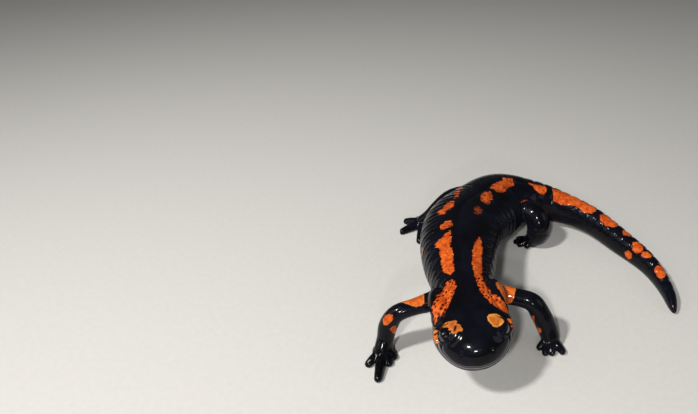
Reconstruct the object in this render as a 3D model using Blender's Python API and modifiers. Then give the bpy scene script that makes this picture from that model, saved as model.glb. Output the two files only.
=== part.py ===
# Fire salamander, adult, life size, in a still standing pose.
# The trunk bends to the animal's left, and the tail curls on round beside it.
# Metres, +Z up. The head faces -Y, and the animal's own left side is towards +X.
# Feet and tail rest on the floor at z = 0, below the middle of the whole outline.
#
# The body is lofted along one midline, the limbs are tapered tubes, and the muscles and
# glands are ellipsoids. All of it is fused into one skin, then parted with thin cuts.

import math

import bmesh
import bpy
import numpy as np
from mathutils import Matrix, Vector

MM = 0.001
NAME = "fire_salamander"

# ---- how the solids are made
GAP = 0.3            # mm between neighbouring pieces
VOXEL = 0.5          # mm, grain of the fused skin
SMOOTHING = 4        # passes over the fused skin
SMOOTH_STEP = 0.5
FACETS = 3900        # triangles kept on the fused skin
RING = 32            # points round the body
FLOOR_DEPTH = 10.0   # mm of shape that may hang below the floor before it is cut level
FLOOR_WIDTH = 200.0
FLOOR_MIDDLE = (15.0, 33.0)

# ---- the midline, snout to tail tip: x, y, z in mm
MIDLINE = (
    (2.0, -10.3, 12.2),
    (0.3, 0.0, 14.0),
    (-2.4, 10.5, 14.0),
    (-4.2, 20.0, 13.2),
    (-6.2, 36.0, 12.3),
    (-5.1, 48.5, 11.4),
    (0.4, 57.6, 10.6),
    (5.6, 65.0, 10.4),
    (15.0, 66.8, 9.2),
    (25.0, 66.4, 7.2),
    (36.5, 60.9, 5.2),
    (46.0, 49.6, 4.0),
    (53.9, 38.2, 2.9),
    (57.2, 27.0, 1.9),
    (57.6, 19.0, 0.9),
)

# ---- cross sections: distance from the snout, half width, rise and drop from the midline, in mm
SECTIONS = (
    (0, 9.7, 6.2, 4.3),
    (13, 10.1, 6.7, 4.8),
    (19, 9.6, 6.9, 5.4),
    (25, 8.6, 7.0, 6.2),
    (38, 10.7, 8.6, 7.6),
    (52, 12.7, 9.0, 8.0),
    (64, 13.5, 8.8, 8.0),
    (76, 13.0, 8.4, 7.6),
    (86, 9.6, 7.4, 7.0),
    (95, 6.2, 6.6, 6.3),
    (103, 4.7, 5.7, 5.6),
    (114, 4.1, 5.0, 5.0),
    (127, 3.6, 4.4, 4.6),
    (140, 2.8, 3.6, 3.9),
    (151, 2.1, 2.7, 3.0),
    (162, 1.3, 1.6, 1.8),
)
SNOUT_LENGTH = 11.2  # mm over which the snout rounds off, seen from above
SNOUT_BLUNT = 7.5    # mm over which it rounds off, seen from the side
TAIL_ROUNDING = 6.0  # mm over which the tail tip rounds off
FULLNESS = 2.25      # exponent of the section, 2 being an ellipse

# ---- head
EYE_RADIUS = 2.2
EYE_ALONG = 8.1      # from the snout tip
EYE_ASIDE = 6.5      # from the midline
EYE_ABOVE = 2.8
BROW = (3.3, 2.7, 2.6)
BROW_INWARD = 0.9    # from the eye's centre towards the midline
PAROTOID_ALONG = 18.5
PAROTOID_ASIDE = 7.3
PAROTOID_ABOVE = 3.0
PAROTOID = (6.2, 2.7, 2.9)
MOUTH_BELOW = 1.9    # mouth line under the midline
MOUTH_REACH = 28.0   # width of the cut along the mouth

# ---- limbs: x, y, z and radius in mm, from inside the body out to the wrist or ankle
LIMBS = {
    "right": {
        "arm": ((-6.0, 15.0, 12.0, 3.6), (-11.4, 11.9, 12.6, 2.9), (-16.0, 9.8, 12.6, 2.3),
                (-20.7, 8.2, 11.6, 2.4), (-23.2, 7.6, 8.0, 2.6), (-24.3, 6.4, 4.2, 2.3),
                (-25.0, 4.4, 2.2, 2.2)),
        "leg": ((-2.0, 67.0, 9.5, 4.6), (-7.2, 69.2, 9.2, 4.0), (-12.4, 68.2, 8.4, 3.6),
                (-17.0, 65.8, 6.0, 2.9), (-20.2, 64.6, 3.6, 2.3), (-22.2, 63.8, 2.2, 2.3)),
    },
    "left": {
        "arm": ((1.5, 15.0, 12.0, 3.6), (6.5, 14.2, 12.8, 2.8), (10.6, 13.4, 12.8, 2.4),
                (15.5, 12.2, 11.8, 2.6), (17.9, 11.2, 8.0, 2.8), (19.6, 10.1, 4.2, 2.8),
                (20.4, 9.0, 2.2, 2.6)),
        "leg": ((6.0, 61.4, 9.8, 4.8), (10.8, 58.6, 10.4, 4.5), (15.0, 57.0, 11.0, 4.2),
                (18.1, 54.4, 10.6, 3.9), (18.7, 52.7, 7.2, 3.9), (18.0, 52.9, 3.9, 3.6),
                (16.9, 53.2, 2.1, 2.9)),
    },
}
# where the cuts cross a limb, as a share of its length: root, elbow or knee, wrist or ankle
LIMB_CUTS = {
    "right": {"arm": (0.33, 0.62, 0.90), "leg": (0.40, 0.64, 0.88)},
    "left": {"arm": (0.33, 0.62, 0.90), "leg": (0.50, 0.70, 0.91)},
}

# the disc at each root: how far it turns to face off the body's side, and its radius in limb radii
ROOT_DISCS = {
    "right": {"arm": (1.0, 1.6), "leg": (1.0, 1.6)},
    "left": {"arm": (1.0, 1.6), "leg": (-0.12, 1.35)},
}

# ---- hands and feet: heading in degrees from +X, and length in mm of each digit
DIGITS = {
    "right": {
        "arm": ((-129, 5.8), (-87, 9.5), (-57, 5.2), (-24, 4.4)),
        "leg": ((136, 4.8), (165, 7.6), (213, 9.2), (270, 10.8), (305, 5.8)),
    },
    "left": {
        "arm": ((-137, 5.0), (-108, 5.8), (-86, 5.6), (-53, 6.2)),
        "leg": ((138, 4.4), (160, 6.2), (178, 6.8), (198, 5.8), (228, 4.0)),
    },
}
DIGIT_RADII = (1.35, 1.18, 1.0)     # at the palm, the middle and the tip
DIGIT_HEIGHTS = (1.3, 1.1, 0.75)    # of their centres over the floor
DIGIT_START = 0.8    # from the middle of the palm
DIGIT_MIDDLE = 0.6   # share of the digit's length
PALM = (2.7, 2.7, 1.6)
PALM_LOWERED = 0.4   # centre of the palm under the end of the limb

# ---- where the body is parted, from the snout, in mm
BODY_CUTS = (("head", 13.5), ("neck", 19.5), ("trunk_front", 44.0), ("trunk_rear", 67.0),
             ("pelvis", 95.0), ("tail_root", 110.0), ("tail_middle", 128.0),
             ("tail_end", 145.0), ("tail_tip", 161.0))
CUT_MARGIN = 2.0     # how far a cut reaches past the body
LIMB_MARGIN = 2.0    # how far a hand or foot is taken to reach past the end of its limb
DISC_SIZE = 1.6      # radius of a cut across a limb, in limb radii


def smooth_rows(rows, at):
    """Columns of a table at the places asked for, on smooth curves through its rows."""
    rows = np.array(rows, float)
    x, y = rows[:, 0], rows[:, 1:]
    slope = np.gradient(y, x, axis=0)
    k = np.clip(np.searchsorted(x, at, side="right") - 1, 0, len(x) - 2)
    span = (x[k + 1] - x[k])[:, None]
    u = (np.clip(at, x[0], x[-1]) - x[k])[:, None] / span
    rise = (3 - 2 * u) * u * u
    return y[k] * (1 - rise) + y[k + 1] * rise + span * u * (1 - u) * (
        slope[k] * (1 - u) - slope[k + 1] * u)


def route(points, step=1.0):
    """A smooth curve through the points, with the distance along it in front of each row."""
    points = np.array(points, float)
    chord = np.linalg.norm(np.diff(points[:, :3], axis=0), axis=1)
    knots = np.concatenate(([0.0], np.cumsum(np.sqrt(chord))))
    fine = smooth_rows(np.column_stack((knots, points)), np.linspace(0.0, knots[-1], 1200))
    steps = np.linalg.norm(np.diff(fine[:, :3], axis=0), axis=1)
    walked = np.concatenate(([0.0], np.cumsum(steps)))
    stops = np.linspace(0.0, walked[-1], max(4, round(walked[-1] / step) + 1))
    return np.column_stack([stops] + [np.interp(stops, walked, column) for column in fine.T])


def frames(curve):
    """Unit vectors ahead, aside and up at each row of a route."""
    ahead = np.gradient(curve[:, 1:4], axis=0)
    ahead /= np.linalg.norm(ahead, axis=1)[:, None]
    aside = np.cross(ahead, (0.0, 0.0, 1.0))
    aside /= np.maximum(np.linalg.norm(aside, axis=1), 1e-6)[:, None]
    return ahead, aside, np.cross(aside, ahead)


def at_route(curve, distance):
    """Place and unit vectors at a distance along a route."""
    row = int(np.argmin(abs(curve[:, 0] - distance)))
    ahead, aside, up = frames(curve)
    return curve[row, 1:4], ahead[row], aside[row], up[row]


def add_loft(bm, rings):
    """A closed tube through rings of points, given in mm."""
    rows = [[bm.verts.new(Vector(point) * MM) for point in ring] for ring in rings]
    count = len(rows[0])
    for near, far in zip(rows, rows[1:]):
        for i in range(count):
            bm.faces.new((near[i], near[(i + 1) % count], far[(i + 1) % count], far[i]))
    bm.faces.new(rows[0][::-1])
    bm.faces.new(rows[-1])


def add_ball(bm, centre, radii, ahead=(0.0, 1.0, 0.0)):
    """An ellipsoid in mm: radii along its heading, across it and up."""
    heading = Vector(ahead).normalized()
    turn = heading.to_track_quat("X", "Z").to_matrix().to_4x4()
    size = Matrix.Diagonal((*(r * MM for r in radii), 1.0))
    place = Matrix.Translation(Vector(centre) * MM) @ turn @ size
    bmesh.ops.create_uvsphere(bm, u_segments=16, v_segments=8, radius=1.0, matrix=place)


def rounding(distance, over):
    """Growth from nearly nothing to full size, as a quarter circle grows."""
    left = np.clip(1 - distance / over, 0, 0.999)
    return np.sqrt(1 - left ** 2)


def add_body(bm, curve):
    """Head, trunk and tail as one loft with rounded sections."""
    length = curve[-1, 0]
    half_width, rise, drop = smooth_rows(SECTIONS, curve[:, 0]).T
    half_width = half_width * rounding(curve[:, 0], SNOUT_LENGTH)
    rise = rise * rounding(curve[:, 0], SNOUT_BLUNT)
    drop = drop * rounding(curve[:, 0], SNOUT_BLUNT)
    tip = rounding(length - curve[:, 0], TAIL_ROUNDING)
    angle = np.linspace(0.0, 2 * math.pi, RING, endpoint=False)
    across = np.sign(np.cos(angle)) * abs(np.cos(angle)) ** (2 / FULLNESS)
    height = np.sign(np.sin(angle)) * abs(np.sin(angle)) ** (2 / FULLNESS)
    _, aside, up = frames(curve)
    rings = []
    for i, row in enumerate(curve):
        tall = np.where(height > 0, rise[i], drop[i]) * height
        section = aside[i] * across[:, None] * half_width[i] + up[i] * tall[:, None]
        rings.append(row[1:4] + tip[i] * section)
    add_loft(bm, rings)


def add_tube(bm, points):
    """A tapered round tube with ball ends through rows of x, y, z and radius."""
    curve = route(points, step=0.6)
    angle = np.linspace(0.0, 2 * math.pi, 16, endpoint=False)[:, None]
    _, aside, up = frames(curve)
    rings = [row[1:4] + row[4] * (aside[i] * np.cos(angle) + up[i] * np.sin(angle))
             for i, row in enumerate(curve)]
    add_loft(bm, rings)
    for row in (curve[0], curve[-1]):
        add_ball(bm, row[1:4], (row[4],) * 3)
    return curve


def add_foot(bm, palm, digits):
    """A flat palm with blunt digits spread on the floor."""
    x, y, z, _ = palm
    add_ball(bm, (x, y, z - PALM_LOWERED), PALM)
    for heading, length in digits:
        ahead = np.array((math.cos(math.radians(heading)), math.sin(math.radians(heading))))
        stops = (DIGIT_START, DIGIT_MIDDLE * length, length - DIGIT_RADII[-1])
        add_tube(bm, [(x + stop * ahead[0], y + stop * ahead[1], height, radius)
                      for stop, height, radius in zip(stops, DIGIT_HEIGHTS, DIGIT_RADII)])


def new_object(name, bm, collection):
    """An object from a bmesh, in a collection."""
    bmesh.ops.recalc_face_normals(bm, faces=bm.faces)
    mesh = bpy.data.meshes.new(name)
    bm.to_mesh(mesh)
    bm.free()
    obj = bpy.data.objects.new(name, mesh)
    collection.objects.link(obj)
    return obj


def apply_modifiers(obj):
    """Keep what the modifiers make, and drop the modifiers."""
    bpy.context.view_layer.update()
    shape = bpy.data.meshes.new_from_object(obj.evaluated_get(bpy.context.evaluated_depsgraph_get()))
    obj.modifiers.clear()
    old = obj.data
    obj.data = shape
    bpy.data.meshes.remove(old)


def cut(obj, cutter):
    """Take a cutter's shape out of an object."""
    boolean = obj.modifiers.new("cut", "BOOLEAN")
    boolean.operation = "DIFFERENCE"
    boolean.solver = "EXACT"
    boolean.object = cutter
    apply_modifiers(obj)


def cutter_object(name, bm, collection):
    """A cutter, hidden from renders."""
    obj = new_object(name, bm, collection)
    obj.hide_render = True
    obj.display_type = "WIRE"
    return obj


def disc_cutter(name, centre, normal, radius, collection):
    """A disc as thick as the gap, across a limb or the body."""
    bm = bmesh.new()
    turn = Vector(normal).to_track_quat("Z", "Y").to_matrix().to_4x4()
    place = Matrix.Translation(Vector(centre) * MM) @ turn
    bmesh.ops.create_cone(bm, cap_ends=True, segments=24, radius1=radius * MM,
                          radius2=radius * MM, depth=GAP * MM, matrix=place)
    return cutter_object(name, bm, collection)


def box_cutter(name, centre, axes, sizes, collection):
    """A box along three given axes, in mm."""
    bm = bmesh.new()
    turn = Matrix([Vector(a) for a in axes]).transposed().to_4x4()
    size = Matrix.Diagonal((*(s * MM for s in sizes), 1.0))
    place = Matrix.Translation(Vector(centre) * MM) @ turn @ size
    bmesh.ops.create_cube(bm, size=1.0, matrix=place)
    return cutter_object(name, bm, collection)


def ball_cutter(name, centre, radius, collection):
    """A ball, for an eye socket."""
    bm = bmesh.new()
    add_ball(bm, centre, (radius,) * 3)
    return cutter_object(name, bm, collection)


def fused_skin(curve, limbs, eyes, collection):
    """Body, limbs, glands and muscles as one closed skin, level underneath."""
    bm = bmesh.new()
    add_body(bm, curve)
    for (side, limb), points in limbs.items():
        add_tube(bm, points)
        add_foot(bm, points[-1], DIGITS[side][limb])
    for sign in (-1, 1):
        place, ahead, aside, up = at_route(curve, PAROTOID_ALONG)
        add_ball(bm, place + sign * aside * PAROTOID_ASIDE + up * PAROTOID_ABOVE, PAROTOID, ahead)
    for centre, aside, ahead in eyes.values():
        add_ball(bm, centre - aside * BROW_INWARD, BROW, ahead)
    skin = new_object("skin", bm, collection)
    remesh = skin.modifiers.new("fuse", "REMESH")
    remesh.mode = "VOXEL"
    remesh.voxel_size = VOXEL * MM
    smooth = skin.modifiers.new("smooth", "SMOOTH")
    smooth.factor = SMOOTH_STEP
    smooth.iterations = SMOOTHING
    apply_modifiers(skin)
    thin = skin.modifiers.new("thin", "DECIMATE")
    thin.ratio = FACETS / (2 * len(skin.data.polygons))
    apply_modifiers(skin)
    return skin


def limb_cuts(limbs, body, cutters):
    """Discs across each limb at its root, its middle joint and its last joint.

    The disc at the root leans towards the body's side, so that it runs between the two."""
    discs = []
    names = {"arm": ("upper_arm", "forearm", "hand"), "leg": ("thigh", "shank", "foot")}
    marks = {}
    for (side, limb), points in limbs.items():
        curve = route(points, step=0.25)
        ends = [share * curve[-1, 0] for share in LIMB_CUTS[side][limb]] + [curve[-1, 0] + LIMB_MARGIN]
        for i, part in enumerate(names[limb]):
            place, ahead, _, _ = at_route(curve, ends[i])
            size = DISC_SIZE
            if i == 0:
                lean, size = ROOT_DISCS[side][limb]
                nearest = body[np.argmin(np.linalg.norm(body[:, 1:4] - place, axis=1)), 1:4]
                ahead = ahead + lean * (place - nearest) / np.linalg.norm(place - nearest)
            radius = size * np.interp(ends[i], curve[:, 0], curve[:, 4])
            discs.append(disc_cutter(f"cut_{part}_{side}", place, ahead, radius, cutters))
            marks[f"{part}_{side}"] = at_route(curve, (ends[i] + ends[i + 1]) / 2)[0]
    return discs, marks


def body_cuts(curve, cutters):
    """Discs across the body between its lengths."""
    discs = []
    marks = {}
    start = 0.0
    for name, end in BODY_CUTS:
        marks[name] = at_route(curve, (start + end) / 2)[0]
        if name != BODY_CUTS[-1][0]:
            place, ahead, _, _ = at_route(curve, end)
            reach = max(smooth_rows(SECTIONS, np.array([end]))[0]) + CUT_MARGIN
            discs.append(disc_cutter(f"cut_{name}", place, ahead, reach, cutters))
        start = end
    return discs, marks


def mouth_cut(curve, cutters):
    """A level slit from the snout back to the neck, which frees the lower jaw."""
    neck = BODY_CUTS[0][1]
    place, ahead, aside, up = at_route(curve, neck)
    middle = place - up * MOUTH_BELOW - ahead * neck / 2
    slit = box_cutter("mouth", middle, (ahead, aside, up), (neck + GAP, MOUTH_REACH, GAP), cutters)
    return slit, middle - up * MOUTH_BELOW


def split_islands(obj, collection):
    """Each separate piece of an object as its own object."""
    bm = bmesh.new()
    bm.from_mesh(obj.data)
    seen = set()
    pieces = []
    for start in bm.faces:
        if start in seen:
            continue
        seen.add(start)
        group = [start]
        for face in group:      # the list grows as neighbours are met
            for edge in face.edges:
                fresh = [other for other in edge.link_faces if other not in seen]
                seen.update(fresh)
                group.extend(fresh)
        piece = bmesh.new()
        copies = {}
        for face in group:
            for vert in face.verts:
                if vert not in copies:
                    copies[vert] = piece.verts.new(vert.co)
            piece.faces.new([copies[vert] for vert in face.verts])
        pieces.append(new_object("piece", piece, collection))
    bm.free()
    return pieces


def outline(points):
    """The middle and the size of a set of points."""
    low, high = points.min(axis=0), points.max(axis=0)
    return (low + high) / 2, high - low


def name_pieces(pieces, marks):
    """Call each piece after the mark nearest its middle, every name once."""
    for piece in pieces:
        middle, _ = outline(np.array([vert.co for vert in piece.data.vertices]) / MM)
        piece.name = min(marks, key=lambda name: np.linalg.norm(marks[name] - middle))
        piece.data.name = piece.name
        print(f"{piece.name}: {len(piece.data.polygons)} triangles")
    assert sorted(piece.name for piece in pieces) == sorted(marks)


def material(name, colour, roughness):
    """A plain Principled material."""
    made = bpy.data.materials.new(name)
    made.use_nodes = True
    shader = made.node_tree.nodes["Principled BSDF"]
    shader.inputs["Base Color"].default_value = (*colour, 1.0)
    shader.inputs["Roughness"].default_value = roughness
    shader.inputs["Metallic"].default_value = 0.0
    return made


def centre_on_floor(objects):
    """Move the shapes so that the middle of their outline is over the origin."""
    middle, size = outline(np.array([vert.co for obj in objects for vert in obj.data.vertices]))
    for obj in objects:
        obj.data.transform(Matrix.Translation((-middle[0], -middle[1], 0.0)))
    print("size in mm:", (size / MM).round(1))


def main():
    for obj in list(bpy.data.objects):
        bpy.data.objects.remove(obj)
    parts = bpy.data.collections.new(NAME)
    cutters = bpy.data.collections.new("cutters")
    for collection in (parts, cutters):
        bpy.context.scene.collection.children.link(collection)

    curve = route(MIDLINE, step=0.5)
    print("length along the midline:", round(curve[-1, 0], 1), "mm")
    place, ahead, aside, up = at_route(curve, EYE_ALONG)
    eyes = {side: (place + sign * aside * EYE_ASIDE + up * EYE_ABOVE, sign * aside, ahead)
            for side, sign in (("right", -1), ("left", 1))}
    limbs = {(side, limb): points for side, both in LIMBS.items() for limb, points in both.items()}

    skin = fused_skin(curve, limbs, eyes, parts)
    across = (Vector((1, 0, 0)), Vector((0, 1, 0)), Vector((0, 0, 1)))
    floor = box_cutter("floor", (*FLOOR_MIDDLE, -FLOOR_DEPTH / 2), across,
                       (FLOOR_WIDTH, FLOOR_WIDTH, FLOOR_DEPTH), cutters)
    cut(skin, floor)
    for side, (centre, _, _) in eyes.items():
        cut(skin, ball_cutter(f"socket_{side}", centre, EYE_RADIUS + GAP, cutters))
    slit, jaw_mark = mouth_cut(curve, cutters)
    cut(skin, slit)
    limb_discs, marks = limb_cuts(limbs, curve, cutters)
    body_discs, body_marks = body_cuts(curve, cutters)
    marks.update(body_marks)
    marks["lower_jaw"] = jaw_mark
    marks["head"] = marks["head"] + up * MOUTH_BELOW
    for disc in limb_discs + body_discs:
        cut(skin, disc)

    pieces = split_islands(skin, parts)
    bpy.data.objects.remove(skin)
    name_pieces(pieces, marks)
    for side, (centre, _, _) in eyes.items():
        bm = bmesh.new()
        add_ball(bm, centre, (EYE_RADIUS,) * 3)
        pieces.append(new_object(f"eye_{side}", bm, parts))
    centre_on_floor(pieces)
    for piece in pieces:
        wet = piece.name.startswith("eye")
        piece.data.materials.clear()
        piece.data.materials.append(material(piece.name, (0.004, 0.004, 0.006), 0.05 if wet else 0.25))
        piece.data.shade_smooth()
        piece.data.set_sharp_from_angle(angle=math.radians(40))


main()
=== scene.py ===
# fire salamander, adult, life size, standing still with its tail curled round
import math

import bmesh
import bpy
import numpy as np
from mathutils import Matrix, Vector


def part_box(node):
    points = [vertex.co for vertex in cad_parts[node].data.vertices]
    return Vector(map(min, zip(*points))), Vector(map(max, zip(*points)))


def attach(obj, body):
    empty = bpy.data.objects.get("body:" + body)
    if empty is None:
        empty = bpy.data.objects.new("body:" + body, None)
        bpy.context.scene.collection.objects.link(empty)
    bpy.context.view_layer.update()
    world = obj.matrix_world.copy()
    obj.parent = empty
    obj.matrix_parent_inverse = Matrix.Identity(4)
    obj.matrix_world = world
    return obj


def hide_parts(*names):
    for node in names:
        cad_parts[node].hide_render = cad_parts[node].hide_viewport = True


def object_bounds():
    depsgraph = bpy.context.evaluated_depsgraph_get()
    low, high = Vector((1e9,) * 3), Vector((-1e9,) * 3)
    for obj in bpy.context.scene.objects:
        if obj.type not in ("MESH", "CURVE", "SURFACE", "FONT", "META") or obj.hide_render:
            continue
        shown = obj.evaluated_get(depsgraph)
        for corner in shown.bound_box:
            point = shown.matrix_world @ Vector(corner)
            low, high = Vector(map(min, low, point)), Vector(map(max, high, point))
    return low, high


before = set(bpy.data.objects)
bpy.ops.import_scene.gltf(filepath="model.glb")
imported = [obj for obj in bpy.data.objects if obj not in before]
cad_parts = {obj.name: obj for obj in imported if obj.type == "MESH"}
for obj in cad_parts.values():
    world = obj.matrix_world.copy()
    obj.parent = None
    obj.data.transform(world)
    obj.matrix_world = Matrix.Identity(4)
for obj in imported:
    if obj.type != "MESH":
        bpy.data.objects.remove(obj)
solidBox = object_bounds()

mm = 0.001
rng = np.random.default_rng(7)

# shape of the animal, all in mm: head faces -Y, its own left is +X, floor at z = 0
body = dict(
    # x, y, z along the back bone from snout to tail tip
    midline=[(2.0, -10.3, 12.2), (0.3, 0.0, 14.0), (-2.4, 10.5, 14.0), (-4.2, 20.0, 13.2),
             (-6.2, 36.0, 12.3), (-5.1, 48.5, 11.4), (0.4, 57.6, 10.6), (5.6, 65.0, 10.4),
             (15.0, 66.8, 9.2), (25.0, 66.4, 7.2), (36.5, 60.9, 5.2), (46.0, 49.6, 4.0),
             (53.9, 38.2, 2.9), (57.2, 27.0, 1.9), (57.6, 19.0, 0.9)],
    # how far along, half width, rise and drop
    sections=[(0, 9.7, 6.2, 4.3), (13, 10.1, 6.7, 4.8), (19, 9.6, 6.9, 5.4), (25, 8.6, 7.0, 6.2),
              (38, 10.7, 8.6, 7.6), (52, 12.7, 9.0, 8.0), (64, 13.5, 8.8, 8.0), (76, 13.0, 8.4, 7.6),
              (86, 9.6, 7.4, 7.0), (95, 6.2, 6.6, 6.3), (103, 4.7, 5.7, 5.6), (114, 4.1, 5.0, 5.0),
              (127, 3.6, 4.4, 4.6), (140, 2.8, 3.6, 3.9), (151, 2.1, 2.7, 3.0), (162, 1.3, 1.6, 1.8)],
    snoutRound=11.2,      # seen from above
    snoutBlunt=7.5,       # seen from the side
    tailRound=6.0,
    fullness=2.25,        # 2 is a plain ellipse
    voxel=0.16,           # grain of the fused skin
)

limbs = {   # x, y, z, radius
    "armRight": [(-6.0, 15.0, 12.0, 3.6), (-11.4, 11.9, 12.6, 2.9), (-16.0, 9.8, 12.6, 2.3),
                 (-20.7, 8.2, 11.6, 2.4), (-23.2, 7.6, 8.0, 2.6), (-24.3, 6.4, 4.2, 2.3),
                 (-25.0, 4.4, 2.2, 2.2)],
    "legRight": [(-2.0, 67.0, 9.5, 4.6), (-7.2, 69.2, 9.2, 4.0), (-12.4, 68.2, 8.4, 3.6),
                 (-17.0, 65.8, 6.0, 2.9), (-20.2, 64.6, 3.6, 2.3), (-22.2, 63.8, 2.2, 2.3)],
    "armLeft": [(1.5, 15.0, 12.0, 3.6), (6.5, 14.2, 12.8, 2.8), (10.6, 13.4, 12.8, 2.4),
                (15.5, 12.2, 11.8, 2.6), (17.9, 11.2, 8.0, 2.8), (19.6, 10.1, 4.2, 2.8),
                (20.4, 9.0, 2.2, 2.6)],
    "legLeft": [(6.0, 61.4, 9.8, 4.8), (10.8, 58.6, 10.4, 4.5), (15.0, 57.0, 11.0, 4.2),
                (18.1, 54.4, 10.6, 3.9), (18.7, 52.7, 7.2, 3.9), (18.0, 52.9, 3.9, 3.6),
                (16.9, 53.2, 2.1, 2.9)],
}

toes = dict(    # heading in degrees from +X and length of each, from the middle of the palm
    armRight=[(-129, 5.8), (-87, 9.5), (-57, 5.2), (-24, 4.4)],
    legRight=[(136, 4.8), (165, 7.6), (213, 9.2), (270, 10.8), (305, 5.8)],
    armLeft=[(-137, 5.0), (-108, 5.8), (-86, 5.6), (-53, 6.2)],
    legLeft=[(138, 4.4), (160, 6.2), (178, 6.8), (198, 5.8), (228, 4.0)],
    radii=(1.35, 1.18, 1.0),       # at the palm, the middle and the blunt tip
    heights=(1.3, 1.1, 0.75),
    thicker=dict(legRight=1.25, armRight=1.08),
    start=0.8, middle=0.6,
    palm=(2.7, 2.7, 1.6), palmLowered=0.4,
)

head = dict(
    eyeRadius=2.2, eyeAt=(8.1, 6.5, 2.8),        # along, aside, above
    brow=(3.3, 2.7, 2.6), browInward=0.9,
    gland=(6.2, 2.7, 2.9), glandAt=(18.5, 7.3, 3.0),     # the parotoid, full of poison pores
    mouthBelow=1.9, mouthCorner=13.5,
    nostrilAt=(2.3, 3.7),
)


def smoothRows(rows, at):
    rows = np.array(rows, float)
    x, y = rows[:, 0], rows[:, 1:]
    slope = np.gradient(y, x, axis=0)
    k = np.clip(np.searchsorted(x, at, side="right") - 1, 0, len(x) - 2)
    span = (x[k + 1] - x[k])[:, None]
    u = (np.clip(at, x[0], x[-1]) - x[k])[:, None] / span
    rise = (3 - 2 * u) * u * u
    return y[k] * (1 - rise) + y[k + 1] * rise + span * u * (1 - u) * (slope[k] * (1 - u) - slope[k + 1] * u)


def route(points, step):
    # rows of distance, x, y, z and whatever else each point carries
    points = np.array(points, float)
    chord = np.linalg.norm(np.diff(points[:, :3], axis=0), axis=1)
    knots = np.concatenate(([0.0], np.cumsum(np.sqrt(chord))))
    fine = smoothRows(np.column_stack((knots, points)), np.linspace(0.0, knots[-1], 1200))
    walked = np.concatenate(([0.0], np.cumsum(np.linalg.norm(np.diff(fine[:, :3], axis=0), axis=1))))
    stops = np.linspace(0.0, walked[-1], max(4, round(walked[-1] / step) + 1))
    return np.column_stack([stops] + [np.interp(stops, walked, column) for column in fine.T])


def frames(curve):
    ahead = np.gradient(curve[:, 1:4], axis=0)
    ahead /= np.linalg.norm(ahead, axis=1)[:, None]
    aside = np.cross(ahead, (0.0, 0.0, 1.0))
    aside /= np.maximum(np.linalg.norm(aside, axis=1), 1e-6)[:, None]
    return ahead, aside, np.cross(aside, ahead)


def rounding(distance, over):
    left = np.clip(1 - distance / over, 0, 0.999)
    return np.sqrt(1 - left ** 2)


def addLoft(parts, rings):
    first = sum(len(part) for part, _ in parts)
    rings = np.array(rings)
    count, n = rings.shape[:2]
    at = first + np.arange(count * n).reshape(count, n)
    nextAt = np.roll(at, -1, axis=1)
    walls = np.stack((at[:-1], nextAt[:-1], nextAt[1:], at[1:]), axis=-1).reshape(-1, 4)
    parts.append((rings.reshape(-1, 3), walls.tolist() + [at[0, ::-1].tolist(), at[-1].tolist()]))


def addBall(parts, centre, radii, ahead=(0.0, 1.0, 0.0)):
    turn = np.array(Vector(ahead).normalized().to_track_quat("X", "Z").to_matrix())
    tilt = np.linspace(0.02, math.pi - 0.02, 24)[:, None]
    spin = np.linspace(0.0, 2 * math.pi, 40, endpoint=False)
    wide = np.sin(tilt)
    ball = np.stack((wide * np.cos(spin), wide * np.sin(spin), np.cos(tilt) + 0 * spin), axis=-1)
    addLoft(parts, (ball * radii) @ turn.T + centre)


def addTube(parts, points):
    curve = route(points, 0.4)
    angle = np.linspace(0.0, 2 * math.pi, 32, endpoint=False)[:, None]
    _, aside, up = frames(curve)
    addLoft(parts, [row[1:4] + row[4] * (aside[i] * np.cos(angle) + up[i] * np.sin(angle))
                    for i, row in enumerate(curve)])
    for row in (curve[0], curve[-1]):
        addBall(parts, row[1:4], (row[4],) * 3)


spine = route(body["midline"], 0.1)
spineAhead, spineAside, spineUp = frames(spine)


def onBody(along, aside, above):
    i = int(np.argmin(abs(spine[:, 0] - along)))
    place = spine[i, 1:4] + spineAside[i] * aside + spineUp[i] * above
    return place, spineAhead[i], spineAside[i], spineUp[i]


def sectionAt(along):
    return smoothRows(body["sections"], along).T


def link(obj):
    bpy.context.scene.collection.objects.link(obj)
    return obj


def applied(obj):
    bpy.context.view_layer.update()
    made = bpy.data.meshes.new_from_object(obj.evaluated_get(bpy.context.evaluated_depsgraph_get()))
    obj.modifiers.clear()
    old = obj.data
    obj.data = made
    bpy.data.meshes.remove(old)


def dropBubbles(mesh):
    # fusing can shut a bubble inside the body: only what hangs together with the highest point stays
    bm = bmesh.new()
    bm.from_mesh(mesh)
    reached = {max(bm.verts, key=lambda vert: vert.co.z)}
    waiting = list(reached)
    while waiting:
        vert = waiting.pop()
        for edge in vert.link_edges:
            other = edge.other_vert(vert)
            if other not in reached:
                reached.add(other)
                waiting.append(other)
    loose = [vert for vert in bm.verts if vert not in reached]
    bmesh.ops.delete(bm, geom=loose, context="VERTS")
    bm.to_mesh(mesh)
    bm.free()
    print("points in shut bubbles, dropped:", len(loose))


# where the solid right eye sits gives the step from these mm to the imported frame
along, aside, above = head["eyeAt"]
lowest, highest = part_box("eye_right")
shift = onBody(along, -aside, above)[0] - np.array((lowest + highest) / 2) / mm
shift[2] = 0.0


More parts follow.
